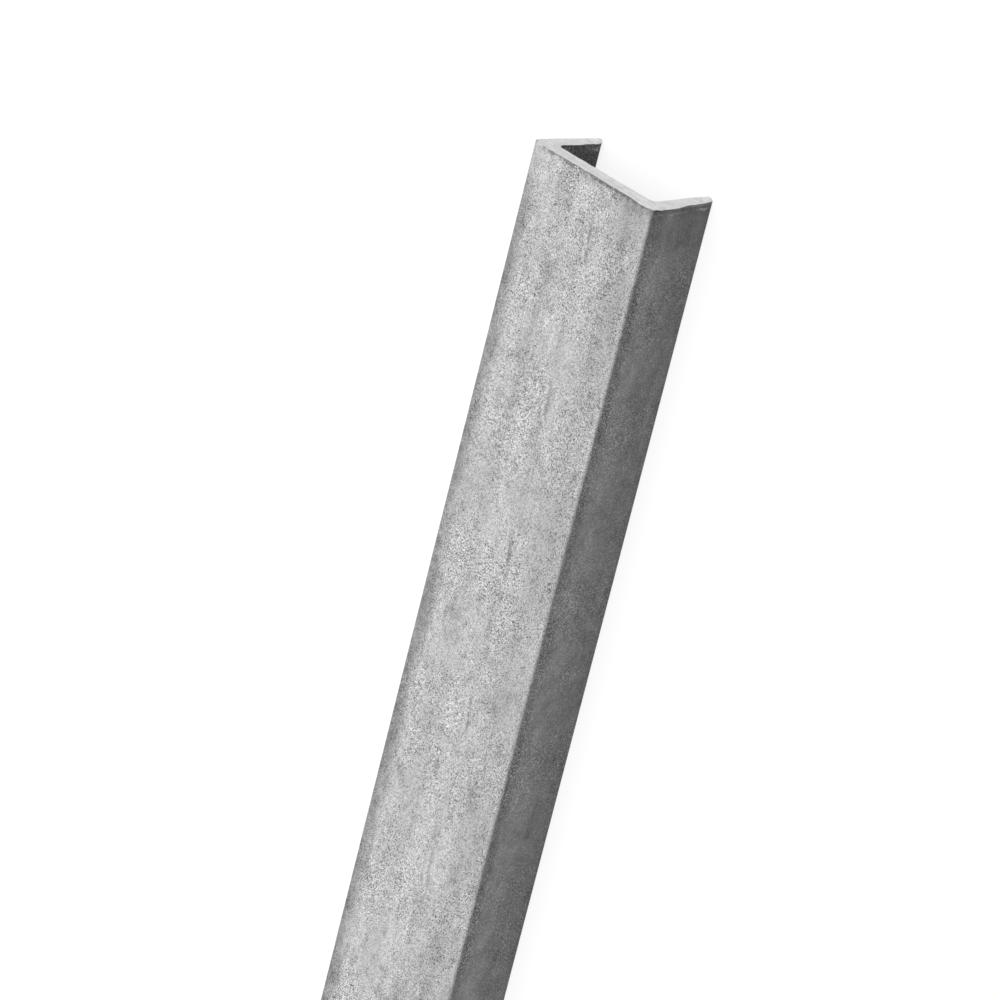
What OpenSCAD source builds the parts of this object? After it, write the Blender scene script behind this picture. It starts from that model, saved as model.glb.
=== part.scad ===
// Bar-size steel U-channel, 2 x 1 x 3/16 in nominal, rolled as one piece and cut square.
// It lies on the toes of its flanges with the web on top. X runs along the bar, Z is up,
// and the origin is under the middle of the bar, level with the toes.

/* [Bar] */
// Length of the bar between its two cut ends
bar_length = 914.4; // [300:0.1:6000]

/* [Section] */
// Width over the outer faces of the two flanges
web_width = 50.8; // [38:0.1:76]
// Depth of a flange, from its toe to the outer face of the web
flange_depth = 25.4; // [19:0.1:38]
// Thickness of the web
web_thickness = 5.2; // [3:0.05:7]
// Thickness of a flange where it would meet the inner face of the web
flange_root_thickness = 4.95; // [3:0.05:7]
// Thickness of a flange at its toe
flange_toe_thickness = 4.5; // [3:0.05:7]

/* [Rolled corners] */
// Radius of the two heels, where the web turns into a flange on the outside
heel_radius = 1.0; // [0.3:0.1:2.5]
// Radius of the two fillets inside the channel
fillet_radius = 2.2; // [1:0.1:6]
// Radius of a toe on the side that faces the other flange
toe_inner_radius = 1.8; // [0.3:0.1:2.2]
// Radius of a toe on the outer side
toe_outer_radius = 0.4; // [0.2:0.1:1]

/* [Hidden] */
$fn = 96;

half_width = web_width / 2;
// Underside of the web, above the toes
web_underside = flange_depth - web_thickness;
// The sloped inner face of the +Y flange, from the toe up to the web
toe_inner = [half_width - flange_toe_thickness, 0];
root_inner = [half_width - flange_root_thickness, web_underside];
// The rounding of a toe uses at most this share of the toe's flat
toe_share = 0.7;
toe_r = min(toe_inner_radius, toe_share * flange_toe_thickness - toe_outer_radius);
// An arc reaches this far past the edges that it blends, so that it always meets them
arc_overlap = 0.0003;
// A sliver runs this far past the edges, into air where it cuts and into metal where it fills
sliver_overrun = 0.5;

function unit(v) = v / norm(v);

// The space between a corner and the arc that rounds it, run out a little past both edges.
// The arms point along the edges, away from the corner.
module corner_sliver(corner, arm_a, arm_b, radius) {
    a = unit(arm_a);
    b = unit(arm_b);
    half_angle = acos(a * b) / 2;
    centre_depth = radius - arc_overlap;
    reach = centre_depth / tan(half_angle);
    centre = corner + unit(a + b) * centre_depth / sin(half_angle);
    stretch = 1 + sliver_overrun / radius;
    kite = [corner, corner + a * reach, centre, corner + b * reach];
    difference() {
        polygon([for (p = kite) centre + (p - centre) * stretch]);
        translate(centre) circle(radius);
    }
}

// The corners on the +Y side that rolling rounds off
module rounded_off() {
    inner_slope = root_inner - toe_inner;
    corner_sliver([half_width, flange_depth], [-1, 0], [0, -1], heel_radius);
    corner_sliver([half_width, 0], [-1, 0], [0, 1], toe_outer_radius);
    corner_sliver(toe_inner, [1, 0], inner_slope, toe_r);
}

// The metal that rolling leaves in the inside corner on the +Y side
module filled_in() {
    corner_sliver(root_inner, [-1, 0], toe_inner - root_inner, fillet_radius);
}

// The square outline of web and flanges, before its corners are rounded
module sharp_section() {
    polygon([
        [half_width, 0],
        [half_width, flange_depth],
        [-half_width, flange_depth],
        [-half_width, 0],
        [-toe_inner[0], toe_inner[1]],
        [-root_inner[0], root_inner[1]],
        root_inner,
        toe_inner,
    ]);
}

module both_sides() {
    children();
    mirror([1, 0]) children();
}

// The rolled section, drawn with Y across and Z up
module section() {
    difference() {
        union() {
            sharp_section();
            both_sides() filled_in();
        }
        both_sides() rounded_off();
    }
}

module channel() {
    color("silver")
        rotate([90, 0, 90])
            linear_extrude(height = bar_length, center = true) section();
}

channel();
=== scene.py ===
"""A rolled steel U-channel, lying on the toes of its flanges with the web on top.

X runs along the bar, Y across it and Z up, in metres, as in the CAD frame. The section is drawn
in millimetres and scaled once. Patterns in the materials are sized in millimetres too.
"""

from math import atan2, cos, pi, radians, sin, tan

import bmesh
import bpy
from mathutils import Matrix, Vector


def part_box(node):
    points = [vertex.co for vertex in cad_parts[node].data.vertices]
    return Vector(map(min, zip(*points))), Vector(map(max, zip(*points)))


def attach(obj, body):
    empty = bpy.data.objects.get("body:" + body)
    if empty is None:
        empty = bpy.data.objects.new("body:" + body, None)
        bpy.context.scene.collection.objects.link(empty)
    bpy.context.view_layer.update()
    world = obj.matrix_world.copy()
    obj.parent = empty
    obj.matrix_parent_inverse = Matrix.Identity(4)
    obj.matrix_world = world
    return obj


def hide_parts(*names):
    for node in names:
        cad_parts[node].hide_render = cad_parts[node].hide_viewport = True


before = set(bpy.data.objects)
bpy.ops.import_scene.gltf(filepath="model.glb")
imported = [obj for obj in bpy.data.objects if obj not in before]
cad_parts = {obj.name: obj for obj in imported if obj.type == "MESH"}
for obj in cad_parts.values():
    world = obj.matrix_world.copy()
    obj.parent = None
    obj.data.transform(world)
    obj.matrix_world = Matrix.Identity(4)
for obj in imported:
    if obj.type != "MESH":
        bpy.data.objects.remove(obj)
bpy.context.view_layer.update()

MM = 0.001

# The bar, from the frame
LOW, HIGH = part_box("channel")
LENGTH = (HIGH.x - LOW.x) / MM
WIDTH = (HIGH.y - LOW.y) / MM
DEPTH = (HIGH.z - LOW.z) / MM
HALF_LENGTH = LENGTH / 2
HALF_WIDTH = WIDTH / 2

# The rolled section, in millimetres, as in the part's source
WEB = 5.2
FLANGE_ROOT = 4.95
FLANGE_TOE = 4.5
HEEL_RADIUS = 1.0
FILLET_RADIUS = 2.2
TOE_INNER_RADIUS = 1.8
TOE_OUTER_RADIUS = 0.4

# How the section is divided into cells
WEB_CELLS = 18
CORNER_CELLS = 5
FLANGE_CELLS = 12
TOE_CELLS = 4
ACROSS_CELLS = 4
CROWDING = 0.5

# The camera, in degrees and millimetres, aimed at a point on the web
AZIMUTH = 32.15
ELEVATION = 44.13
ROLL = 99.42
DISTANCE = 2100.0
LENS = 254.35
AIM_BEHIND_END = 107.4
AIM_SIDEWAYS = 4.0


# --- The section, drawn flat with X across and Y up ----------------------------------------------


def unit(v):
    return v / v.length


def rounded(before, corner, after, radius, cells):
    """Points of the arc that rounds a corner, from one edge to the other."""
    a = unit(before - corner)
    b = unit(after - corner)
    half_angle = a.angle(b) / 2
    centre = corner + unit(a + b) * radius / sin(half_angle)
    start = corner + a * radius / tan(half_angle) - centre
    end = corner + b * radius / tan(half_angle) - centre
    turn = start.angle_signed(end)
    first = atan2(start.y, start.x)
    angles = [first - turn * i / cells for i in range(cells + 1)]
    return [centre + radius * Vector((cos(t), sin(t))) for t in angles]


def flat(start, end, cells, ease):
    """Points between two ends, without the ends, that crowd towards the corners beside them."""
    points = []
    for i in range(1, cells):
        t = i / cells
        points.append(start.lerp(end, t + CROWDING * (ease(t) - t)))
    return points


def towards_end(t):
    return sin(pi * t / 2)


def towards_both(t):
    return (1 - cos(pi * t)) / 2


def half_line(middle, corner, toe, far_toe, corner_radius, toe_radius):
    """One side of half the section, from the middle of the web to the flat of the toe."""
    bend = rounded(middle, corner, toe, corner_radius, CORNER_CELLS)
    tip = rounded(corner, toe, far_toe, toe_radius, TOE_CELLS)
    web = flat(middle, bend[0], WEB_CELLS, towards_end)
    flange = flat(bend[-1], tip[0], FLANGE_CELLS, towards_both)
    return [middle] + web + bend + flange + tip


def whole_line(half):
    """The same line from one toe to the other."""
    return [Vector((-p.x, p.y)) for p in reversed(half[1:])] + half


def section_lines():
    """The outer and the inner side of the section, with as many points each."""
    outer_toe = Vector((HALF_WIDTH, 0))
    inner_toe = Vector((HALF_WIDTH - FLANGE_TOE, 0))
    heel = Vector((HALF_WIDTH, DEPTH))
    root = Vector((HALF_WIDTH - FLANGE_ROOT, DEPTH - WEB))
    top = Vector((0, DEPTH))
    underside = Vector((0, DEPTH - WEB))
    outside = half_line(top, heel, outer_toe, inner_toe, HEEL_RADIUS, TOE_OUTER_RADIUS)
    inside = half_line(underside, root, inner_toe, outer_toe, FILLET_RADIUS, TOE_INNER_RADIUS)
    return whole_line(outside), whole_line(inside)


def section_sheet():
    """The section as a flat sheet of quads, with its face towards +Z."""
    outside, inside = section_lines()
    points = []
    for out, inn in zip(outside, inside):
        for k in range(ACROSS_CELLS + 1):
            p = out.lerp(inn, k / ACROSS_CELLS) * MM
            points.append((p.x, p.y, 0))
    row = ACROSS_CELLS + 1
    faces = []
    for i in range(len(outside) - 1):
        for k in range(ACROSS_CELLS):
            a = i * row + k
            faces.append((a, a + 1, a + row + 1, a + row))
    mesh = bpy.data.meshes.new("channel_section")
    mesh.from_pydata(points, [], faces)
    if mesh.polygons[0].normal.z < 0:
        mesh.flip_normals()
    return mesh


# --- Node building -------------------------------------------------------------------------------


class Nodes:
    """Adds nodes to a tree. An input takes a value or another node's output."""

    def __init__(self, tree):
        self.tree = tree

    def feed(self, socket, value):
        if isinstance(value, bpy.types.NodeSocket):
            self.tree.links.new(value, socket)
        else:
            socket.default_value = value

    def add(self, kind, inputs=None, **settings):
        node = self.tree.nodes.new(kind)
        for name, value in settings.items():
            setattr(node, name, value)
        for name, value in (inputs or {}).items():
            self.feed(node.inputs[name], value)
        return node

    def math(self, operation, *values):
        node = self.add("ShaderNodeMath", operation=operation)
        for socket, value in zip(node.inputs, values):
            self.feed(socket, value)
        return node.outputs[0]

    def vector(self, operation, *values):
        node = self.add("ShaderNodeVectorMath", operation=operation)
        for socket, value in zip(node.inputs, values):
            self.feed(socket, value)
        return node.outputs[0]

    def stretched(self, vector, x, y, z):
        return self.vector("MULTIPLY", vector, (x, y, z))

    def scale(self, vector, factor):
        node = self.add("ShaderNodeVectorMath", {"Scale": factor}, operation="SCALE")
        self.feed(node.inputs[0], vector)
        return node.outputs[0]

    def step(self, value, low, high, to_low=0.0, to_high=1.0):
        """A smooth step from one value to the other as the input goes from low to high."""
        node = self.add("ShaderNodeMapRange", interpolation_type="SMOOTHSTEP")
        for socket, number in zip(node.inputs, (value, low, high, to_low, to_high)):
            self.feed(socket, number)
        return node.outputs[0]

    def fade(self, value, low, high):
        """A smooth step from 1 down to 0."""
        return self.step(value, low, high, 1.0, 0.0)

    def off(self, value, middle):
        """How far a value is from the middle of something."""
        return self.math("ABSOLUTE", self.math("SUBTRACT", value, middle))

    def one_plus(self, value, amount):
        """1 where the value is 0, and more or less by the amount where it is 1."""
        return self.math("MULTIPLY_ADD", value, amount, 1.0)

    def noise(self, place, size, detail=2.0, roughness=0.5):
        """Noise about 0.5 whose patches are about as large as size."""
        node = self.add(
            "ShaderNodeTexNoise",
            {"Vector": place, "Scale": 1 / size, "Detail": detail, "Roughness": roughness},
        )
        return node.outputs[0]

    def product(self, first, *others):
        for other in others:
            first = self.math("MULTIPLY", first, other)
        return first

    def total(self, first, *others):
        for other in others:
            first = self.math("ADD", first, other)
        return first

    def around_zero(self, value, reach):
        """Noise about 0.5 turned into a value from -reach to reach."""
        return self.math("MULTIPLY_ADD", value, 2 * reach, -reach)


def in_mm(n, place):
    return n.scale(place, 1 / MM)


def parts_of(n, place):
    """The X, Y and Z of a place."""
    return n.add("ShaderNodeSeparateXYZ", {"Vector": place}).outputs


# --- The bar, swept by Geometry Nodes ------------------------------------------------------------


# What the bar's tree is given: its length in metres, and its wear in millimetres
BAR_INPUTS = {
    "Length": ("Float", LENGTH * MM),
    "Rings": ("Int", 585),
    "End crowding": ("Float", 0.07),
    "Waviness": ("Float", 0.05),
    "Burr": ("Float", 0.18),
    "Out of square": ("Float", 2.0),
    "Toe burr": ("Float", 1.15),
    "Heel wear": ("Float", 0.5),
}


def add_inputs(tree):
    """Gives the tree its named inputs and its output, and returns the inputs' sockets."""
    tree.interface.new_socket("Section", in_out="INPUT", socket_type="NodeSocketGeometry")
    for name, (kind, _) in BAR_INPUTS.items():
        tree.interface.new_socket(name, in_out="INPUT", socket_type="NodeSocket" + kind)
    tree.interface.new_socket("Bar", in_out="OUTPUT", socket_type="NodeSocketGeometry")
    return tree.nodes.new("NodeGroupInput").outputs


def set_inputs(modifier):
    """Sets the modifier's inputs by their identifiers."""
    for item in modifier.node_group.interface.items_tree:
        if item.name in BAR_INPUTS:
            modifier[item.identifier] = BAR_INPUTS[item.name][1]


# How suddenly the rings crowd near the ends of the bar
END_CROWDING_POWER = 12.0


def path_along_bar(n, given):
    """A line along X whose points crowd towards both ends."""
    half = n.math("MULTIPLY", given["Length"], 0.5)
    line = n.add("GeometryNodeCurvePrimitiveLine", {"Start": (-1, 0, 0), "End": (1, 0, 0)})
    points = n.add("GeometryNodeResampleCurve", {"Curve": line.outputs[0], "Count": given["Rings"]})
    factor = n.add("GeometryNodeSplineParameter").outputs["Factor"]
    t = n.math("MULTIPLY_ADD", factor, 2.0, -1.0)
    near_ends = n.math("POWER", n.math("ABSOLUTE", t), END_CROWDING_POWER)
    late = n.math("MULTIPLY", near_ends, t)
    crowded = n.math("MULTIPLY_ADD", given["End crowding"], n.math("SUBTRACT", t, late), t)
    place = n.add("ShaderNodeCombineXYZ", {"X": n.math("MULTIPLY", half, crowded)})
    moved = n.add(
        "GeometryNodeSetPosition", {"Geometry": points.outputs[0], "Position": place.outputs[0]}
    )
    upright = n.add("GeometryNodeSetCurveNormal", {"Curve": moved.outputs[0]}, mode="Z_UP")
    turned = n.add("GeometryNodeSetCurveTilt", {"Curve": upright.outputs[0], "Tilt": pi})
    return turned.outputs[0]


# The map that the bake lays the bar out on, in millimetres of it: two strips, one for each half
# of the bar's length, and the two cuts above them
MAP_NAME = "OFBake"
MAP_SIDE = 470.0
MAP_GAP = 5.0
CUT_ENLARGED = 2.0


def outline_length():
    """The distance round the section, along its points."""
    outside, inside = section_lines()
    around = outside + inside[::-1]
    return sum((a - b).length for a, b in zip(around, around[1:] + around[:1]))


def with_map(n, geometry, spot):
    """Stores a place on the bake's map for each corner of each face."""
    stored = n.add(
        "GeometryNodeStoreNamedAttribute",
        {"Geometry": geometry, "Name": MAP_NAME, "Value": n.scale(spot, 1 / MAP_SIDE)},
        data_type="FLOAT2",
        domain="CORNER",
    )
    return stored.outputs[0]


def on_faces(n, value):
    """The value at the middle of a face, for its corners too."""
    field = n.add(
        "GeometryNodeFieldOnDomain", {"Value": value}, data_type="FLOAT", domain="FACE"
    )
    return field.outputs[0]


def place_in_mm(n):
    """Where a point, or the middle of a face, is."""
    return in_mm(n, n.add("GeometryNodeInputPosition").outputs[0])


def stored_value(n, name):
    return n.add("GeometryNodeInputNamedAttribute", {"Name": name}, data_type="FLOAT").outputs[0]


def store_value(n, geometry, name, value, domain):
    stored = n.add(
        "GeometryNodeStoreNamedAttribute",
        {"Geometry": geometry, "Name": name, "Value": value},
        data_type="FLOAT",
        domain=domain,
    )
    return stored.outputs[0]


def strip_map(n):
    """Lays the skin out in two strips, with the way round the section going up."""
    whole = outline_length()
    along = parts_of(n, place_in_mm(n))["X"]
    around = stored_value(n, "around")
    wrapped = n.math("GREATER_THAN", n.math("SUBTRACT", on_faces(n, around), around), whole / 4)
    up = n.math("MULTIPLY_ADD", wrapped, whole, around)
    right_half = n.math("GREATER_THAN", on_faces(n, along), 0.0)
    left_half = n.math("SUBTRACT", 1.0, right_half)
    u = n.math("MULTIPLY_ADD", left_half, HALF_LENGTH, n.math("ADD", along, MAP_GAP))
    v = n.math("MULTIPLY_ADD", left_half, whole + MAP_GAP, n.math("ADD", up, MAP_GAP))
    return n.add("ShaderNodeCombineXYZ", {"X": u, "Y": v}).outputs[0]


def cut_map(n, side):
    """Lays a cut out above the strips, enlarged."""
    spot = n.scale(place_in_mm(n), CUT_ENLARGED)
    middle = HALF_WIDTH * CUT_ENLARGED + MAP_GAP
    top = 2 * outline_length() + 3 * MAP_GAP
    return n.vector("ADD", spot, (middle * (1 if side < 0 else 3), top, 0))


def swept_skin(n, sheet, path):
    """The outline of the section swept along the path."""
    faces_beside = n.add("GeometryNodeInputMeshEdgeNeighbors").outputs[0]
    rim = n.math("COMPARE", faces_beside, 1.0, 0.1)
    outline = n.add("GeometryNodeMeshToCurve", {"Mesh": sheet, "Selection": rim})
    around = n.math("DIVIDE", n.add("GeometryNodeSplineParameter").outputs["Length"], MM)
    measured = store_value(n, outline.outputs[0], "around", around, "POINT")
    skin = n.add("GeometryNodeCurveToMesh", {"Curve": path, "Profile Curve": measured})
    return with_map(n, skin.outputs[0], strip_map(n))


def cut_face(n, sheet, place, side):
    """The section stood up at one end of the bar, marked as a cut."""
    stood = n.add(
        "GeometryNodeTransform",
        {
            "Geometry": with_map(n, sheet, cut_map(n, side)),
            "Translation": place,
            "Rotation": (pi / 2, 0, pi / 2),
        },
    )
    return store_value(n, stood.outputs[0], "cut", 1.0, "FACE")


# Points of the skin and of a cut that are nearer than this, in metres, are sewn together
SEAM = 0.00001


def closed_bar(n, given):
    """The swept skin with a cut face at each end, sewn together."""
    sheet = given["Section"]
    half = n.math("MULTIPLY", given["Length"], 0.5)
    right = n.add("ShaderNodeCombineXYZ", {"X": half}).outputs[0]
    left = n.scale(right, -1)
    skin = swept_skin(n, sheet, path_along_bar(n, given))
    join = n.add("GeometryNodeJoinGeometry")
    for piece in (cut_face(n, sheet, right, 1), cut_face(n, sheet, left, -1), skin):
        n.feed(join.inputs[0], piece)
    sewn = n.add("GeometryNodeMergeByDistance", {"Geometry": join.outputs[0], "Distance": SEAM})
    return sewn.outputs[0]


# The relief of the rolled faces and the burr of a cut, in millimetres
WAVE_SIZE = 9.0
WAVES_ALONG = 0.6
RIPPLE_SIZE = 4.0
RIPPLE_SHARE = 0.6
BURR_REACH = 0.6
BURR_PATCHES = 2.5
BURR_UNEVEN = (0.35, 0.65)
CLEAR_OF_FLOOR = 2.0


def relief(n, given, place, behind_end):
    """How far a point stands out from the plain bar."""
    broad = n.around_zero(n.noise(n.stretched(place, WAVES_ALONG, 1, 1), WAVE_SIZE, 1.0), 1.0)
    fine = n.around_zero(n.noise(place, RIPPLE_SIZE, 1.0), RIPPLE_SHARE)
    waves = n.math("MULTIPLY", n.math("ADD", broad, fine), given["Waviness"])
    uneven = n.step(n.noise(place, BURR_PATCHES), *BURR_UNEVEN)
    burr = n.product(n.fade(behind_end, 0.0, BURR_REACH), uneven, given["Burr"])
    off_floor = n.step(parts_of(n, place)["Z"], 0.0, CLEAR_OF_FLOOR)
    return n.math("MULTIPLY", n.math("ADD", waves, burr), off_floor)


# Where the heel beside the -Y flange is worn at a cut, from where to where it fades out
WORN_FROM_EDGE = (0.0, 1.2)
WORN_DOWN_FLANGE = (12.0, 14.0)
WORN_ALONG_WEB = (5.0, 9.0)
WORN_BEHIND_CUT = (0.0, 3.0)
LESS_WORN_AT_HEEL = (0.5, 5.0, 0.2, 1.0)


def heel_wear(n, parts, behind_end):
    """How far the outer edges of a cut are knocked back beside the -Y heel."""
    from_top = n.math("SUBTRACT", DEPTH, parts["Z"])
    from_side = n.math("ADD", HALF_WIDTH, parts["Y"])
    edge = n.fade(n.math("MINIMUM", from_top, from_side), *WORN_FROM_EDGE)
    down_flange = n.fade(from_top, *WORN_DOWN_FLANGE)
    along_web = n.fade(from_side, *WORN_ALONG_WEB)
    corner = n.step(n.math("ADD", from_top, from_side), *LESS_WORN_AT_HEEL)
    fading = n.fade(behind_end, *WORN_BEHIND_CUT)
    return n.product(edge, down_flange, along_web, corner, fading)


# The burr at a toe: how it starts, ends and reaches up, measured from the side where the saw left
BURR_START = (0.3, 1.6, 0.4, 1.0)
BURR_END = (2.2, 4.3)
BURR_HEIGHT = (0.5, 3.0)
BURR_OVERHANG = 0.3


def toe_burr(n, parts):
    """1 at the toes on the side where the saw left the metal, and 0 elsewhere on the cut."""
    across = n.math("ADD", parts["Y"], HALF_WIDTH + BURR_OVERHANG)
    from_exit = n.math("WRAP", across, WIDTH - FLANGE_TOE, 0.0)
    rounded_off = n.step(from_exit, *BURR_START)
    exit_side = n.fade(from_exit, *BURR_END)
    return n.product(rounded_off, exit_side, n.fade(parts["Z"], *BURR_HEIGHT))


# The sloping part of the cut: at what share of the depth it is level with the rest, how wide the
# bend between them is, and how far the bend leans outwards through the web
SLOPE_LEVEL = 0.75
SLOPE_BEND = 1.5
SLOPE_BEND_LEAN = 3.0


def out_of_square(n, parts):
    """How far the cut slopes back on the far flange, from a quarter of the depth below the web."""
    on_web = n.step(parts["Z"], DEPTH - WEB, DEPTH, 0.0, SLOPE_BEND_LEAN)
    across = n.math("SUBTRACT", parts["Y"], on_web)
    root = HALF_WIDTH - FLANGE_ROOT
    far_flange = n.step(across, root - SLOPE_BEND, root)
    down = n.math("SUBTRACT", SLOPE_LEVEL, n.math("DIVIDE", parts["Z"], DEPTH))
    return n.product(far_flange, down)


# The bar is straight again this far behind a cut that is out of square
SKEW_REACH = 40.0


def cut_shift(n, given, place, behind_end):
    """How far the cut stands out along the bar. At the +X end the saw ran out of square."""
    parts = parts_of(n, place)
    slope = n.product(given["Out of square"], out_of_square(n, parts))
    burr = n.product(given["Toe burr"], toe_burr(n, parts))
    right_end = n.math("GREATER_THAN", parts["X"], 0.0)
    fading = n.fade(behind_end, 0.0, SKEW_REACH)
    skewed = n.product(n.math("SUBTRACT", burr, slope), right_end, fading)
    worn = n.product(given["Heel wear"], heel_wear(n, parts, behind_end))
    return n.product(n.math("SUBTRACT", skewed, worn), n.math("SIGN", parts["X"]))


def shaped_bar(n, given):
    """The closed bar with its relief and its cuts, marked with how far it is behind an end."""
    place = place_in_mm(n)
    behind_end = n.math("SUBTRACT", HALF_LENGTH, n.math("ABSOLUTE", parts_of(n, place)["X"]))
    marked = store_value(n, closed_bar(n, given), "behind_end", behind_end, "POINT")
    outwards = n.add("GeometryNodeInputNormal").outputs[0]
    relieved = n.scale(outwards, relief(n, given, place, behind_end))
    shifted = n.scale((1, 0, 0), cut_shift(n, given, place, behind_end))
    offset = n.scale(n.vector("ADD", relieved, shifted), MM)
    return n.add("GeometryNodeSetPosition", {"Geometry": marked, "Offset": offset}).outputs[0]


def bar_tree(skin, cut):
    """The tree that makes the bar from its section."""
    tree = bpy.data.node_groups.new("rolled_bar", "GeometryNodeTree")
    n = Nodes(tree)
    bar = shaped_bar(n, add_inputs(tree))
    whole = n.add("GeometryNodeRealizeInstances", {"Geometry": bar})
    skinned = n.add("GeometryNodeSetMaterial", {"Geometry": whole.outputs[0], "Material": skin})
    finished = n.add(
        "GeometryNodeSetMaterial",
        {"Geometry": skinned.outputs[0], "Selection": stored_value(n, "cut"), "Material": cut},
    )
    out = n.add("NodeGroupOutput")
    n.feed(out.inputs[0], finished.outputs[0])
    return tree


# Edges that turn by more than this, in degrees, stay crisp
CRISP_FROM = 40


def outwards_and_crisp(mesh):
    """Turns all faces outwards, and keeps the edges of the cuts crisp."""
    bm = bmesh.new()
    bm.from_mesh(mesh)
    bmesh.ops.recalc_face_normals(bm, faces=bm.faces[:])
    for face in bm.faces:
        face.smooth = True
    bm.to_mesh(mesh)
    bm.free()
    mesh.set_sharp_from_angle(angle=radians(CRISP_FROM))


def make_bar(skin, cut):
    """The whole channel as one plain mesh."""
    start = bpy.data.objects.new("channel_start", section_sheet())
    bpy.context.scene.collection.objects.link(start)
    modifier = start.modifiers.new("rolled_bar", "NODES")
    modifier.node_group = bar_tree(skin, cut)
    set_inputs(modifier)
    seen = start.evaluated_get(bpy.context.evaluated_depsgraph_get())
    mesh = bpy.data.meshes.new_from_object(seen)
    start.modifiers.remove(modifier)
    bpy.data.objects.remove(start)
    outwards_and_crisp(mesh)
    bar = bpy.data.objects.new("channel_bar", mesh)
    bpy.context.scene.collection.objects.link(bar)
    return bar


# --- Materials -----------------------------------------------------------------------------------


def new_material(name, kind=Nodes):
    """A material without nodes, and what adds its nodes."""
    material = bpy.data.materials.new(name)
    material.use_nodes = True
    material.node_tree.nodes.clear()
    return material, kind(material.node_tree)


def grey(n, value):
    colour = n.add("ShaderNodeCombineColor", {"Red": value, "Green": value, "Blue": value})
    return colour.outputs[0]


def place_on_bar(n):
    """The point's place on the bar, in millimetres."""
    return in_mm(n, n.add("ShaderNodeTexCoord").outputs["Object"])


def finish_metal(n, tone, height, relief_in_mm, finish):
    """Gives a material its grey, its relief and the finish of its metal."""
    bump = n.add(
        "ShaderNodeBump", {"Height": height, "Strength": 1.0, "Distance": relief_in_mm * MM}
    )
    looks = {"Base Color": grey(n, tone), "Normal": bump.outputs[0], **finish}
    shader = n.add("ShaderNodeBsdfPrincipled", looks)
    out = n.add("ShaderNodeOutputMaterial")
    n.feed(out.inputs["Surface"], shader.outputs[0])


# --- The patterns that skins are made of ---------------------------------------------------------


def speckle(n, place, size, lean):
    """A random value for each little grain, about 0. It leans to dark below 1, to light above."""
    cells = n.add("ShaderNodeTexVoronoi", {"Vector": place, "Scale": 1 / size})
    value = n.add("ShaderNodeSeparateColor", {"Color": cells.outputs["Color"]}).outputs["Red"]
    middle = n.math("DIVIDE", 1.0, n.math("ADD", lean, 1.0))
    return n.math("MULTIPLY", n.math("SUBTRACT", n.math("POWER", value, lean), middle), 2.0)


# Squiggles: the width of their lines against their size, and how they are broken off
SQUIGGLE_LINE = (0.01, 0.06)
SQUIGGLE_BREAKS = (0.45, 0.6)
SQUIGGLE_SPREAD = 1.7


def squiggles(n, place, size):
    """1 on short thin lines that wriggle."""
    line = n.off(n.noise(place, size, 1.0), 0.5)
    here = n.step(n.noise(place, SQUIGGLE_SPREAD * size, 1.0), *SQUIGGLE_BREAKS)
    return n.product(n.fade(line, *SQUIGGLE_LINE), here)


def specks(n, place, spacing, share, radius):
    """1 on small round specks, on a share of the spots that lie about a spacing apart."""
    cells = n.add("ShaderNodeTexVoronoi", {"Vector": place, "Scale": 1 / spacing})
    chance = n.add("ShaderNodeSeparateColor", {"Color": cells.outputs["Color"]}).outputs["Green"]
    chosen = n.math("LESS_THAN", chance, share)
    spot = n.fade(cells.outputs["Distance"], radius / spacing / 2, radius / spacing)
    return n.product(spot, chosen)


# How scratches are broken off
SCRATCH_BREAKS = (0.52, 0.62)


def hairlines(n, place, spacing, width):
    """1 on thin curved scratches, broken off at random."""
    sway = n.add("ShaderNodeTexNoise", {"Vector": place, "Scale": 3 / spacing}).outputs["Color"]
    bent = n.vector("ADD", place, n.scale(sway, spacing / 2))
    cells = n.add(
        "ShaderNodeTexVoronoi", {"Vector": bent, "Scale": 1 / spacing}, feature="DISTANCE_TO_EDGE"
    )
    line = n.fade(cells.outputs["Distance"], 0.0, width / spacing)
    return n.product(line, n.step(n.noise(place, spacing / 2, 1.0), *SCRATCH_BREAKS))


def band(n, value, middle, reach, depth):
    """1, but lower by depth where the value is near the middle of a band. Below 0 it is higher."""
    return n.step(n.off(value, middle), 0.0, reach, 1 - depth, 1.0)


# --- The rolled skin -----------------------------------------------------------------------------

# Patches on the skin: how much the distance along the bar counts, their size, detail and roughness
CLOUDS = (0.75, 3.8, 4.0, 0.6)
STAIN_PATCHES = (0.6, 13.0, 3.0, 0.6)
COARSE_PATCHES = (0.6, 12.0, 2.0, 0.5)
BROAD_PATCHES = (0.5, 14.0, 1.0, 0.5)
WANDERING = (0.35, 4.0, 3.0, 0.6)

# From where to where on that noise a stain begins, a clean spot ends, and the scale gets coarse
STAINED = (0.54, 0.63)
CLEAN = (0.38, 0.45)
COARSE = (0.34, 0.66, -1.0, 1.0)

# The height over which the look of a flange turns into that of the web
ROUND_HEEL = (DEPTH - 1.0, DEPTH - 0.3)

# From where to where the heel on the far side from the -Y flange, and that side of the web, begin
FAR_HEEL = (HALF_WIDTH - 4.5, HALF_WIDTH - 2.5)
FAR_SIDE = (4.0, 16.0)


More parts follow.
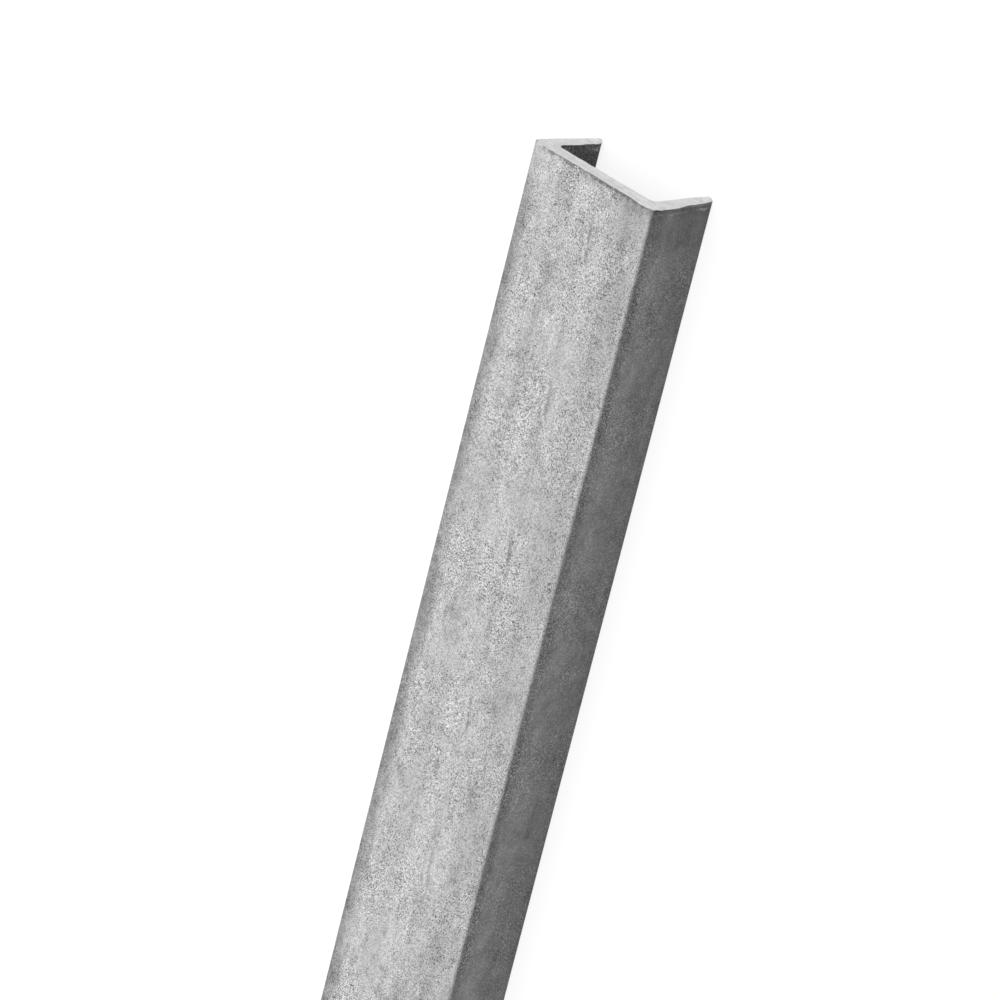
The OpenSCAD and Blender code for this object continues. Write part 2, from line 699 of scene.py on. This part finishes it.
class SkinNodes(Nodes):
    """Nodes of the rolled skin, with the places, faces and patches that its looks depend on."""

    def __init__(self, tree):
        super().__init__(tree)
        self.place = place_on_bar(self)
        parts = parts_of(self, self.place)
        self.along = parts["X"]
        self.across = parts["Y"]
        self.up = parts["Z"]
        self.below_web = self.math("SUBTRACT", DEPTH, self.up)
        self.from_middle = self.math("ABSOLUTE", self.across)
        end = self.add("ShaderNodeAttribute", attribute_name="behind_end")
        self.behind_end = end.outputs["Fac"]
        self.on_web = self.step(self.up, *ROUND_HEEL)
        self.inside = inside_of_channel(self)
        self.far_heel = self.step(self.across, *FAR_HEEL)
        self.far_side = self.step(self.across, *FAR_SIDE)
        self.clouds = self.around_zero(self.patches(*CLOUDS), 1.0)
        stain_patches = self.patches(*STAIN_PATCHES)
        self.stains = self.step(stain_patches, *STAINED)
        self.clean = self.fade(stain_patches, *CLEAN)
        self.coarse = self.step(self.patches(*COARSE_PATCHES), *COARSE)
        self.marks = roll_marks(self)

    def patches(self, along, size, detail, roughness):
        """Noise about 0.5, drawn out along the bar where the distance along it counts less."""
        return self.noise(self.stretched(self.place, along, 1, 1), size, detail, roughness)

    def by_face(self, flange, web):
        """One value on the flanges and another on the web."""
        mixed = self.add(
            "ShaderNodeMix", {"Factor": self.on_web, "A": flange, "B": web}, data_type="FLOAT"
        )
        return mixed.outputs[0]


# The inside ends within the thickness of the web and of the flanges
INSIDE_BELOW = (DEPTH - WEB + 1, DEPTH - WEB + 2)
INSIDE_BETWEEN = (HALF_WIDTH - 2.5, HALF_WIDTH - 1.5)


def inside_of_channel(n):
    """1 on the faces inside the channel and 0 outside."""
    return n.product(n.fade(n.up, *INSIDE_BELOW), n.fade(n.from_middle, *INSIDE_BETWEEN))


# The mark that a nick in the roll leaves, in millimetres: its place and its line
ROLL_MARK_EVERY = 51.9
ROLL_MARK_FIRST = 19.4
ROLL_MARK_SIDEWAYS = -4.9
ROLL_MARK_LENGTH = 16.0
ROLL_MARK_LEAN = 0.1
ROLL_MARK_WOBBLE = 1.1

# Across the mark: half its dent, then the ridge beside it, and where the mark is worn off
ROLL_MARK_DENT = (0.2, 1.0)
ROLL_MARK_RIDGE_AT = 1.4
ROLL_MARK_RIDGE = (0.2, 1.1, 0.7, 0.0)
ROLL_MARK_WORN = (0.35, 0.6, 0.5, 1.0)

# How far behind its nick the roll is worn most, and how much thicker the speckle is there
WORN_BEHIND_MARK = 10.0
WORN_SPECKLE = 0.18


def roll_marks(n):
    """The shallow dent that a nick in the roll prints at every turn, below 0 on its raised side."""
    wobble = n.around_zero(n.noise(n.place, 3.5), ROLL_MARK_WOBBLE)
    behind_first = n.math("SUBTRACT", HALF_LENGTH - ROLL_MARK_FIRST, n.along)
    turn = n.math("WRAP", behind_first, ROLL_MARK_EVERY / 2, -ROLL_MARK_EVERY / 2)
    aside = n.math("SUBTRACT", n.across, ROLL_MARK_SIDEWAYS)
    leaning = n.total(aside, n.math("MULTIPLY", turn, ROLL_MARK_LEAN), wobble)
    dent = n.fade(n.math("ABSOLUTE", leaning), *ROLL_MARK_DENT)
    ridge = n.step(n.off(leaning, ROLL_MARK_RIDGE_AT), *ROLL_MARK_RIDGE)
    reach = ROLL_MARK_LENGTH / 2
    along = n.fade(n.math("ABSOLUTE", turn), reach / 2, reach)
    uneven = n.step(n.noise(n.place, 2.2), *ROLL_MARK_WORN)
    return n.product(n.math("SUBTRACT", dent, ridge), along, uneven, n.on_web)


def roll_wear(n):
    """The speckle is thicker once in each turn of the roll, a little behind its mark."""
    turn = n.math("SUBTRACT", HALF_LENGTH - ROLL_MARK_FIRST - WORN_BEHIND_MARK, n.along)
    wave = n.math("COSINE", n.math("MULTIPLY", turn, 2 * pi / ROLL_MARK_EVERY))
    return n.one_plus(wave, WORN_SPECKLE)


# Streaks along the bar, along which the distance hardly counts: their width, and how strong they
# are on a flange and on the web
STREAKS_ALONG = 0.008
MILL_STREAKS = [
    (5.0, 0.12, 0.03),
    (1.2, 0.065, 0.105),
]

# Darker and paler lanes along the web: where across it, half as wide as, and how much darker
WEB_LANES = [
    (-23.5, 3.5, 0.10),
    (-17.0, 10.0, 0.19),
    (-4.0, 3.5, 0.10),
    (3.0, 4.0, -0.06),
    (9.0, 5.0, 0.09),
]


def mill_streaks(n):
    """Streaks that run along the bar, as the rolls left them, about 0."""
    streaks = []
    for width, on_flange, on_web in MILL_STREAKS:
        streak = n.around_zero(n.patches(STREAKS_ALONG, width, 1.0, 0.5), 1.0)
        streaks.append(n.math("MULTIPLY", streak, n.by_face(on_flange, on_web)))
    return n.total(*streaks)


# How bright the faces are against each other
WEB_TONE = 1.06
FLANGE_TONE = 1.125

# How far the darker edge of the web wanders, and how much of that the lanes and the strip do
WANDER = 4.0
LANES_WANDER = 0.5
STRIP_WANDERS = 1.1

# The darker far edge of the web: across it, in patches, and less dark just behind an end
FAR_EDGE_DARKER = (HALF_WIDTH - 8.0, HALF_WIDTH - 0.5, 0.0, -0.48)
FAR_EDGE_PATCHES = (0.3, 0.7, 0.75, 1.25)
FAR_EDGE_BEHIND_END = (6.0, 28.0, 0.1, 1.0)

# Just behind an end the web is paler towards +Y, by so much a millimetre
TILT_BEHIND_END = (8.0, 30.0, 0.0022, 0.0)

# Down a flange: a dark strip below the heel, then painted shade that darkens it towards the toe,
# beside the floor
DARK_STRIP = (1.0, 6.0, 0.77, 1.05)
TOE_PAINTED_SHADE = (8.0, 17.0, 1.0, 0.78)


def web_tone(n, wander):
    """Lanes along the web, its darker far edge, and how it gets paler across behind an end."""
    darker_far_edge = n.step(n.math("ADD", n.across, wander), *FAR_EDGE_DARKER)
    patchy = n.step(n.noise(n.place, 3.0, 3.0, 0.65), *FAR_EDGE_PATCHES)
    far_edge_darkening = n.product(darker_far_edge, patchy, n.step(n.behind_end, *FAR_EDGE_BEHIND_END))
    across = n.math("MULTIPLY_ADD", wander, LANES_WANDER, n.across)
    lanes = n.product(*[band(n, across, *lane) for lane in WEB_LANES])
    tilt = n.product(n.across, n.step(n.behind_end, *TILT_BEHIND_END))
    return n.product(n.math("ADD", far_edge_darkening, 1.0), lanes, n.math("ADD", tilt, 1.0), WEB_TONE)


def flange_tone(n, wander):
    """The dark strip below the heel, and painted shade that darkens the flange towards its toe."""
    below_web = n.math("SUBTRACT", DEPTH, n.math("MULTIPLY_ADD", wander, STRIP_WANDERS, n.up))
    return n.product(n.step(below_web, *DARK_STRIP), n.step(below_web, *TOE_PAINTED_SHADE), FLANGE_TONE)


def face_tone_and_painted_shade(n):
    """Where the faces are darker or lighter: lanes and a darker far edge on the web, and on a
    flange a dark strip and painted shade towards the toe.
    """
    wander = n.around_zero(n.patches(*WANDERING), WANDER)
    return n.by_face(flange_tone(n, wander), web_tone(n, wander))


# How much painted shade darkens the inside, and behind its ragged ends a thin painted shade and
# broken pale smears
INSIDE_PAINTED_SHADE = -0.49
INSIDE_RAGGED = -1.2
INSIDE_SHADE = (-0.4, 0.1, -0.16, 0.0)
SMEAR_BREAKS = (0.46, 0.54)
SMEARS_START = (-0.1, 0.3)
SMEARS_END = (0.6, 1.5, 0.5, 0.0)


def inside_shade_and_smears(n):
    """The inside darkened with painted shade, with pale smears just behind the cuts."""
    ragged = n.math("MULTIPLY_ADD", n.noise(n.place, 2.0, 3.0), INSIDE_RAGGED, n.behind_end)
    smears = n.product(
        n.step(n.noise(n.place, 3.0), *SMEAR_BREAKS),
        n.step(ragged, *SMEARS_START),
        n.step(ragged, *SMEARS_END),
    )
    shade = n.step(ragged, *INSIDE_SHADE)
    return n.one_plus(n.inside, n.total(smears, shade, INSIDE_PAINTED_SHADE))


# --- The skin just behind a cut ------------------------------------------------------------------

# The painted shadow line along the burr: how ragged it is, where it is thicker and by how much, how
# it fades, and its tone from the toes up to the web
LINE_RAGGED = 2.0
LINE_THICK_PARTS = (0.45, 0.6)
LINE_THICKER = 0.45
LINE_THINNER_ON_FAR_SIDE = 0.2
LINE_FADES = (-0.9, -0.2)
LINE_TONE = (9.0, DEPTH - 0.3, 1.0, 0.42)
LINE_PALER_AT_FAR_HEEL = 0.2

# The painted highlight on the rim of the burr itself, from the toes up to the web, and the paler
# far heel
BURR_HIGHLIGHT = (0.2, 0.9)
BURR_HIGHLIGHT_TONE = (8.0, 12.0, 1.7, 1.3)
FAR_HEEL_PALER_BEHIND = (1.0, 3.5)
FAR_HEEL_PALER_BY = 0.1

# Smudges behind the line, less far back on the far side
SMUDGES = (-7.0, -2.0, 0.78, 1.0)
SMUDGES_RAGGED = -16.0
SMUDGES_ON_FAR_SIDE = 3.0

# A flange behind its cut: a painted shadow line along the frayed edge and painted shade, with their
# tones from the toes upwards
FRAYED = 2.0
FLANGE_SHADOW_LINE = (-0.4, 0.3)
FLANGE_SHADOW_LINE_TONE = (5.0, DEPTH - 5.0, 1.0, 0.88)
FLANGE_SHADE = (9.0, 20.0)
FLANGE_SHADE_TONE = (3.0, 11.0, 0.79, 0.7)

# The painted highlight line that follows the painted shadow line on a flange: how much more ragged
# it is and how far behind, its width, and its breaks
LIGHT_LINE_AT = (1.2, 0.7)
LIGHT_LINE = (0.1, 0.5, 0.45, 0.0)
LIGHT_LINE_BREAKS = (0.42, 0.55)

# The turned-over burr near a toe, with a painted highlight: its middle up the flange and behind the
# frayed edge
TURNED_BURR_UP = 3.4
TURNED_BURR_BEHIND = 0.7
TURNED_BURR_TALL = (1.2, 2.4)
TURNED_BURR_WIDE = (0.2, 0.6)
TURNED_BURR_HIGHLIGHT = 1.5


def burr_shadow_line(n, ragged):
    """The ragged painted shadow line behind the burr of a cut, thicker here and there."""
    thick_parts = n.step(n.noise(n.place, 7.0, 1.0), *LINE_THICK_PARTS)
    thicker = n.math("MULTIPLY", thick_parts, LINE_THICKER)
    reach = n.math("MULTIPLY", n.math("ADD", ragged, thicker), -1.0)
    thinner = n.math("MULTIPLY", n.far_side, LINE_THINNER_ON_FAR_SIDE)
    past_line = n.total(n.behind_end, reach, thinner)
    by_height = n.step(n.up, *LINE_TONE)
    tone = n.math("MULTIPLY_ADD", n.far_heel, LINE_PALER_AT_FAR_HEEL, by_height)
    return n.step(past_line, *LINE_FADES, tone, 1.0)


def smudges(n):
    """Dark smudges that reach back from a cut, here and there."""
    back = n.math("MULTIPLY_ADD", n.noise(n.place, 4.0, 3.0), SMUDGES_RAGGED, n.behind_end)
    return n.step(n.math("MULTIPLY_ADD", n.far_side, SMUDGES_ON_FAR_SIDE, back), *SMUDGES)


def flange_end(n, ragged):
    """A flange gets painted shade behind its cut, a painted shadow line along its frayed edge, a
    painted highlight line, and a painted highlight on a burr that is turned over.
    """
    frayed = n.math("SUBTRACT", n.behind_end, n.math("MULTIPLY", n.noise(n.place, 2.5), FRAYED))
    edge = n.step(frayed, *FLANGE_SHADOW_LINE, n.step(n.up, *FLANGE_SHADOW_LINE_TONE), 1.0)
    shade = n.step(n.behind_end, *FLANGE_SHADE, n.step(n.up, *FLANGE_SHADE_TONE), 1.0)
    off_line = n.off(n.math("MULTIPLY_ADD", ragged, *LIGHT_LINE_AT), n.behind_end)
    broken = n.step(n.noise(n.place, 5.0, 1.0), *LIGHT_LINE_BREAKS)
    light_line = n.product(n.step(off_line, *LIGHT_LINE), broken)
    turned_burr = n.product(
        n.fade(n.off(n.up, TURNED_BURR_UP), *TURNED_BURR_TALL),
        n.fade(n.off(frayed, TURNED_BURR_BEHIND), *TURNED_BURR_WIDE),
    )
    burr = n.math("MULTIPLY", turned_burr, TURNED_BURR_HIGHLIGHT)
    light = n.math("MAXIMUM", light_line, burr)
    return n.product(edge, shade, n.math("ADD", light, 1.0))


def end_tone(n):
    """How much darker and brighter the skin is just behind a cut: painted shadow and highlights at
    the burr, painted shade on a flange, smudges, and a paler far heel.
    """
    ragged = n.math("MULTIPLY", n.noise(n.place, 1.6, 3.0, 0.6), LINE_RAGGED)
    # A painted highlight along the rim of the burr
    rim = n.step(n.behind_end, *BURR_HIGHLIGHT, n.step(n.up, *BURR_HIGHLIGHT_TONE), 1.0)
    paler_heel = n.product(n.far_heel, n.fade(n.behind_end, *FAR_HEEL_PALER_BEHIND))
    beside_web = n.by_face(flange_end(n, ragged), 1.0)
    heel = n.one_plus(paler_heel, FAR_HEEL_PALER_BY)
    return n.product(burr_shadow_line(n, ragged), rim, heel, smudges(n), beside_web)


# --- The speckle of the skin, and all of it together ---------------------------------------------

# How thick the speckle is below the heel, down the flange, and towards the web's far edge
SPECKLE_AT_HEEL = (0.5, 2.5, 0.72, 1.0)
SPECKLE_DOWN_FLANGE = (2.0, 5.5, 1.5, 0.82)
SPECKLE_AT_FAR_EDGE = (HALF_WIDTH - 6.0, HALF_WIDTH - 2.0, 1.18, 0.95)

# It is calmer on the rounded heels, across and down them, and in the dents of the roll marks
HEEL_ACROSS = (HALF_WIDTH - 1.0, HALF_WIDTH - 0.2)
HEEL_DOWN = (0.8, 1.4)
CALM_HEEL = -0.4
CALM_DENT = (0.2, 0.8, 1.0, 0.3)

# Just behind an end it is thicker in the middle of the web and fainter towards its heels
CALM_ACROSS = (9.0, 17.0, 1.7, 0.7)
CALM_BEHIND_END = (7.0, 13.0)
CALM_LESS_FAR_BACK = 6.0

# How much thicker or fainter it is inside the channel and on each kind of patch. With the stains
# it is a little thicker off them
SPECKLE_ON_CLOUDS = (0.35, -0.1)
SPECKLE_ON_COARSE = 0.24
SPECKLE_ON_STAINS = (-0.15, 1.05)
SPECKLE_ON_CLEAN = -0.16
SPECKLE_INSIDE = 1.2


def speckle_on_patches(n):
    """The speckle is thick where the scale is coarse, and faint on stained and clean spots."""
    clouded = n.one_plus(n.clouds, n.by_face(*SPECKLE_ON_CLOUDS))
    dense = n.one_plus(n.coarse, SPECKLE_ON_COARSE)
    stained = n.math("MULTIPLY_ADD", n.stains, *SPECKLE_ON_STAINS)
    cleaned = n.one_plus(n.clean, SPECKLE_ON_CLEAN)
    return n.product(clouded, dense, stained, cleaned)


def speckle_across_section(n):
    """How thick the speckle is on the flanges, the heels and the web."""
    at_heel = n.step(n.below_web, *SPECKLE_AT_HEEL)
    flange = n.product(at_heel, n.step(n.below_web, *SPECKLE_DOWN_FLANGE))
    web = n.step(n.across, *SPECKLE_AT_FAR_EDGE)
    heel = n.product(n.step(n.from_middle, *HEEL_ACROSS), n.fade(n.below_web, *HEEL_DOWN))
    return n.product(n.by_face(flange, web), n.one_plus(heel, CALM_HEEL))


def speckle_behind_end(n):
    """Just behind a cut the speckle is fainter towards the heels, further back beside -Y."""
    calm = n.step(n.from_middle, *CALM_ACROSS)
    back = n.math("ADD", n.behind_end, n.math("MULTIPLY", n.far_side, CALM_LESS_FAR_BACK))
    return n.step(back, *CALM_BEHIND_END, calm, 1.0)


def speckle_strength(n):
    """How thick the speckle is in all."""
    return n.product(
        speckle_across_section(n),
        speckle_on_patches(n),
        n.one_plus(n.inside, SPECKLE_INSIDE),
        n.step(n.marks, *CALM_DENT),
        speckle_behind_end(n),
        roll_wear(n),
    )


# The speckle's grains: their size, and how they lean on a flange and on the web
GRAIN_SIZE = 0.2
GRAIN_LEAN = (2.8, 0.5)
MEDIUM_GRAIN = (0.7, 2.0, 0.6)
SQUIGGLE_SIZE = 0.7

# Nicks and bright specks: how far apart, on what share of the spots, and how large
NICKS_ALONG = 0.3
NICKS = (7.0, 0.5, 0.5)
BRIGHT_SPECKS = (3.0, 0.4, 0.25)

# Scratches: how far apart and how wide, and how bright beside the specks
SCRATCHES = (9.0, 0.3)
SCRATCHES_BRIGHT = 0.25

# The palest that clouds get on a flange and on the web
PALEST_CLOUDS = (1.0, 0.04)

# The skin's grey, the middle that its patterns are added to, and its finish
SKIN_GREY = 0.46
SKIN_MIDDLE = 1.02
SKIN_FINISH = {"Metallic": 0.1, "Roughness": 0.6, "Specular IOR Level": 0.4}

# The skin's relief in millimetres, and the shares of the speckle and the roll marks in it
SKIN_RELIEF = 0.02
GRAIN_RELIEF = 0.6
MARK_RELIEF = -1.5


def skin_patterns(n, grain, strength):
    """All patterns of the skin, about 1, with how much each lightens it, or darkens it below 0."""
    medium = n.product(n.around_zero(n.noise(n.place, *MEDIUM_GRAIN), 1.0), strength)
    lines = n.product(squiggles(n, n.place, SQUIGGLE_SIZE), strength, n.on_web)
    nicks = specks(n, n.stretched(n.place, NICKS_ALONG, 1, 1), *NICKS)
    mottle = n.math("SMOOTH_MIN", n.clouds, n.by_face(*PALEST_CLOUDS), 0.2)
    scratches = n.math("MULTIPLY", hairlines(n, n.place, *SCRATCHES), SCRATCHES_BRIGHT)
    bright = n.total(specks(n, n.place, *BRIGHT_SPECKS), scratches)
    broad = n.around_zero(n.patches(*BROAD_PATCHES), 1.0)
    patterns = [
        (grain, 0.88),
        (medium, 0.03),
        (lines, -0.11),
        (nicks, -0.22),
        (mottle, n.by_face(0.52, 0.65)),
        (bright, n.by_face(0.4, 0.2)),
        (n.coarse, -0.015),
        (broad, 0.14),
        (n.stains, -0.11),
        (n.clean, 0.03),
        # The roll marks are real dents, but their colour is painted shade in the dent and a painted
        # highlight on the raised side
        (n.marks, -0.3),
    ]
    weighed = [n.math("MULTIPLY", pattern, weight) for pattern, weight in patterns]
    return n.total(SKIN_MIDDLE, *weighed, mill_streaks(n))


def steel_skin():
    """The rolled skin: grey, dull and speckled, with smooth stains and streaks along the bar."""
    material, n = new_material("rolled_skin", SkinNodes)
    strength = speckle_strength(n)
    grain = n.product(speckle(n, n.place, GRAIN_SIZE, n.by_face(*GRAIN_LEAN)), strength)
    patterns = skin_patterns(n, grain, strength)
    tone = n.product(SKIN_GREY, patterns, face_tone_and_painted_shade(n), end_tone(n), inside_shade_and_smears(n))
    grains = n.math("MULTIPLY", grain, GRAIN_RELIEF)
    height = n.total(grains, n.clouds, n.math("MULTIPLY", n.marks, MARK_RELIEF))
    finish_metal(n, tone, height, SKIN_RELIEF, SKIN_FINISH)
    return material


# --- The cuts ------------------------------------------------------------------------------------

# The grey of the cuts, how strong the mottle and the saw lines are, and how little the distance
# across the bar, along the lines, counts
SAWN_GREY = 0.71
SAWN_MOTTLE = 0.25
SAW_LINES = 0.25
SAW_LINES_ALONG = 0.08
SAWN_RELIEF = 0.01
SAWN_FINISH = {"Metallic": 0.8, "Roughness": 0.45}


def sawn_steel():
    """The cut ends: brighter, smooth bare steel with faint saw lines."""
    material, n = new_material("sawn_steel")
    place = place_on_bar(n)
    mottle = n.around_zero(n.noise(place, 3.0, 5.0, 0.75), 1.0)
    drawn_out = n.stretched(place, 1, SAW_LINES_ALONG, 1)
    lines = n.around_zero(n.noise(drawn_out, 0.35, 2.0, 0.6), 1.0)
    spread = [n.math("MULTIPLY", mottle, SAWN_MOTTLE), n.math("MULTIPLY", lines, SAW_LINES)]
    finish_metal(n, n.total(SAWN_GREY, *spread), lines, SAWN_RELIEF, SAWN_FINISH)
    return material


# --- Floor, light and camera ---------------------------------------------------------------------


WHITE = (1, 1, 1, 1)

# The floor's half width in metres, how far it is below the bar in millimetres, how much light it
# throws back on the bar, how much of its white a shadow takes away, and the rest of its white
FLOOR_REACH = 6.0
FLOOR_GAP = 0.1
FLOOR_BOUNCE = 0.22
FLOOR_SHADOW = 0.14
FLOOR_GLOW = 0.88

# The light from all sides, where the white background counts as 1
AMBIENT = 0.12


def seen_directly(n):
    """1 for what the camera, a reflection or a clear material looks at, and 0 for bounced light."""
    path = n.add("ShaderNodeLightPath").outputs
    mirrored = n.math("MAXIMUM", path["Is Glossy Ray"], path["Is Transmission Ray"])
    return n.math("MAXIMUM", path["Is Camera Ray"], mirrored)


def floor_material():
    """Plain white where it is seen, with a pale shadow, and a dull grey for bounced light."""
    material, n = new_material("pale_floor")
    bounce = n.add("ShaderNodeBsdfDiffuse", {"Color": (FLOOR_BOUNCE,) * 3 + (1,)})
    lit = n.add("ShaderNodeBsdfDiffuse", {"Color": (FLOOR_SHADOW,) * 3 + (1,)})
    glow = n.add("ShaderNodeEmission", {"Color": WHITE, "Strength": FLOOR_GLOW})
    white = n.add("ShaderNodeAddShader")
    n.feed(white.inputs[0], lit.outputs[0])
    n.feed(white.inputs[1], glow.outputs[0])
    mix = n.add("ShaderNodeMixShader", {"Fac": seen_directly(n)})
    n.feed(mix.inputs[1], bounce.outputs[0])
    n.feed(mix.inputs[2], white.outputs[0])
    out = n.add("ShaderNodeOutputMaterial")
    n.feed(out.inputs["Surface"], mix.outputs[0])
    return material


def make_floor():
    r = FLOOR_REACH
    mesh = bpy.data.meshes.new("floor")
    mesh.from_pydata([(-r, -r, 0), (r, -r, 0), (r, r, 0), (-r, r, 0)], [], [(0, 1, 2, 3)])
    mesh.transform(Matrix.Translation((0, 0, LOW.z - FLOOR_GAP * MM)))
    mesh.materials.append(floor_material())
    floor = bpy.data.objects.new("floor", mesh)
    bpy.context.scene.collection.objects.link(floor)


def make_world():
    world = bpy.data.worlds.new("studio")
    world.use_nodes = True
    world.node_tree.nodes.clear()
    n = Nodes(world.node_tree)
    strength = n.math("MULTIPLY_ADD", seen_directly(n), 1 - AMBIENT, AMBIENT)
    background = n.add("ShaderNodeBackground", {"Color": WHITE, "Strength": strength})
    out = n.add("ShaderNodeOutputWorld")
    n.feed(out.inputs["Surface"], background.outputs[0])
    bpy.context.scene.world = world


def direction(azimuth, elevation):
    """A unit vector towards that side. Azimuth 0 is -Y and 90 is +X, in degrees."""
    a = radians(azimuth)
    e = radians(elevation)
    return Vector((sin(a) * cos(e), -cos(a) * cos(e), sin(e)))


def make_lamp(name, azimuth, elevation, strength, softness):
    """A soft lamp far away. A strength of 1 lights a face turned to it as its colour is written."""
    light = bpy.data.lights.new(name, "SUN")
    light.energy = strength * pi
    light.angle = radians(softness)
    lamp = bpy.data.objects.new(name, light)
    lamp.rotation_euler = direction(azimuth, elevation).to_track_quat("Z", "Y").to_euler()
    bpy.context.scene.collection.objects.link(lamp)


def make_camera():
    data = bpy.data.cameras.new("camera")
    data.lens = LENS
    camera = bpy.data.objects.new("camera", data)
    back = direction(AZIMUTH, ELEVATION)
    right = direction(AZIMUTH + 90, 0)
    up = back.cross(right)
    turn = Matrix((right, up, back)).transposed().to_4x4()
    aim = Vector((HIGH.x - AIM_BEHIND_END * MM, AIM_SIDEWAYS * MM, HIGH.z))
    place = Matrix.Translation(aim + back * DISTANCE * MM)
    camera.matrix_world = place @ turn @ Matrix.Rotation(radians(-ROLL), 4, "Z")
    bpy.context.scene.collection.objects.link(camera)
    bpy.context.scene.camera = camera


# --- The scene -----------------------------------------------------------------------------------


make_camera()
bar = make_bar(steel_skin(), sawn_steel())
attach(bar, "root")
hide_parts("channel")
make_floor()
make_world()
make_lamp("key_lamp", azimuth=110, elevation=72, strength=0.95, softness=40)
bpy.context.scene.view_settings.view_transform = "Standard"
